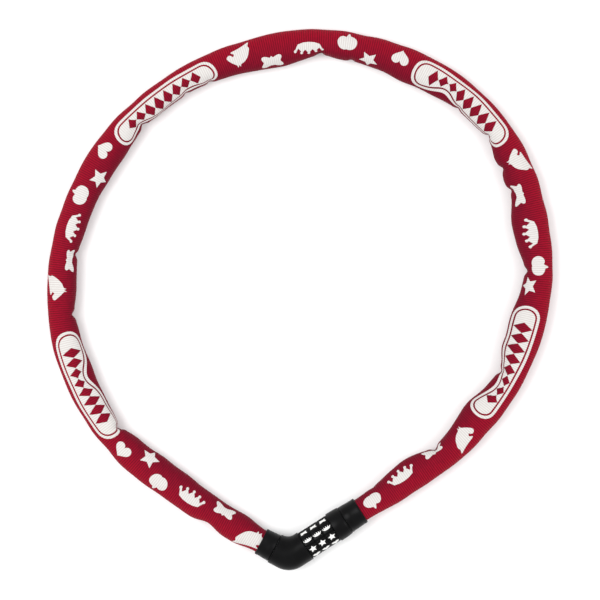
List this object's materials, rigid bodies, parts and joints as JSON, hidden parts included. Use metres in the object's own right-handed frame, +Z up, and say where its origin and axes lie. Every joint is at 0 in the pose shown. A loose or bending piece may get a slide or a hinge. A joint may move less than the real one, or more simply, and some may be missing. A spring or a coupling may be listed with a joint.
{
  "type": "chain lock",
  "caption": "Child's bicycle chain lock: steel chain in a printed woven sleeve, closed into a loop by an elbowed lock body with turning symbol dials and a pull-out plug.",
  "frame": {"origin": "on the flat underside of the elbow housing, straight below the axis of the barrel", "axes": "+X along the barrel axis from the elbow towards the plug, +Y into the loop, +Z up from the surface that the lock lies on"},
  "size_m": [0.2638, 0.2475, 0.0156],
  "materials": {
    "black_plastic": "satin moulded black plastic",
    "dial_plastic": "satin black plastic with white pad-printed symbols",
    "sleeve_fabric": "fine cross-ribbed red woven polyester tube with an off-white print",
    "chain_steel": "zinc-plated square-section steel",
    "bright_steel": "turned steel",
    "spring_steel": "tempered spring steel"
  },
  "bodies": {
    "elbow": {"elbow_housing": "black_plastic", "elbow_collar": "black_plastic", "elbow_anchor": "bright_steel", "elbow_chain_pin": "bright_steel", "barrel_tube": "bright_steel", "barrel_cross_pin": "bright_steel", "detent_spring": "spring_steel", "retaining_clip": "spring_steel", "sleeve": "sleeve_fabric", "chain_link_01": "chain_steel", "chain_link_02": "chain_steel", "chain_link_03": "chain_steel", "chain_link_04": "chain_steel", "chain_link_05": "chain_steel", "chain_link_06": "chain_steel", "chain_link_07": "chain_steel", "chain_link_08": "chain_steel", "chain_link_09": "chain_steel", "chain_link_10": "chain_steel", "chain_link_11": "chain_steel", "chain_link_12": "chain_steel", "chain_link_13": "chain_steel", "chain_link_14": "chain_steel", "chain_link_15": "chain_steel", "chain_link_16": "chain_steel", "chain_link_17": "chain_steel", "chain_link_18": "chain_steel", "chain_link_19": "chain_steel", "chain_link_20": "chain_steel", "chain_link_21": "chain_steel", "chain_link_22": "chain_steel", "chain_link_23": "chain_steel", "chain_link_24": "chain_steel", "chain_link_25": "chain_steel", "chain_link_26": "chain_steel", "chain_link_27": "chain_steel", "chain_link_28": "chain_steel", "chain_link_29": "chain_steel", "chain_link_30": "chain_steel", "chain_link_31": "chain_steel", "chain_link_32": "chain_steel", "chain_link_33": "chain_steel", "chain_link_34": "chain_steel", "chain_link_35": "chain_steel", "chain_link_36": "chain_steel", "chain_link_37": "chain_steel", "chain_link_38": "chain_steel", "chain_link_39": "chain_steel", "chain_link_40": "chain_steel", "chain_link_41": "chain_steel"},
    "dial_1": {"dial_ring_1": "dial_plastic", "code_ring_1": "bright_steel"},
    "dial_2": {"dial_ring_2": "dial_plastic", "code_ring_2": "bright_steel"},
    "dial_3": {"dial_ring_3": "dial_plastic", "code_ring_3": "bright_steel"},
    "plug": {"plug_housing": "black_plastic", "plug_collar": "black_plastic", "locking_bolt": "bright_steel", "plug_chain_pin": "bright_steel"}
  },
  "joints": [
    {"name": "dial_1_turn", "type": "hinge", "parent": "elbow", "child": "dial_1", "pos_m": [0.00637, 0, 0.0077], "axis": [1, 0, 0], "continuous": true},
    {"name": "dial_2_turn", "type": "hinge", "parent": "elbow", "child": "dial_2", "pos_m": [0.012, 0, 0.0077], "axis": [1, 0, 0], "continuous": true},
    {"name": "dial_3_turn", "type": "hinge", "parent": "elbow", "child": "dial_3", "pos_m": [0.01763, 0, 0.0077], "axis": [1, 0, 0], "continuous": true},
    {"name": "plug_pull", "type": "slide", "parent": "elbow", "child": "plug", "axis": [1, 0, 0], "range_m": [0, 0.03], "deforming": ["sleeve", "chain_link_01", "chain_link_02", "chain_link_03", "chain_link_04", "chain_link_05", "chain_link_06", "chain_link_07", "chain_link_08", "chain_link_09", "chain_link_10", "chain_link_11", "chain_link_12", "chain_link_13", "chain_link_14", "chain_link_15", "chain_link_16", "chain_link_17", "chain_link_18", "chain_link_19", "chain_link_20", "chain_link_21", "chain_link_22", "chain_link_23", "chain_link_24", "chain_link_25", "chain_link_26", "chain_link_27", "chain_link_28", "chain_link_29", "chain_link_30", "chain_link_31", "chain_link_32", "chain_link_33", "chain_link_34", "chain_link_35", "chain_link_36", "chain_link_37", "chain_link_38", "chain_link_39", "chain_link_40", "chain_link_41"]}
  ]
}
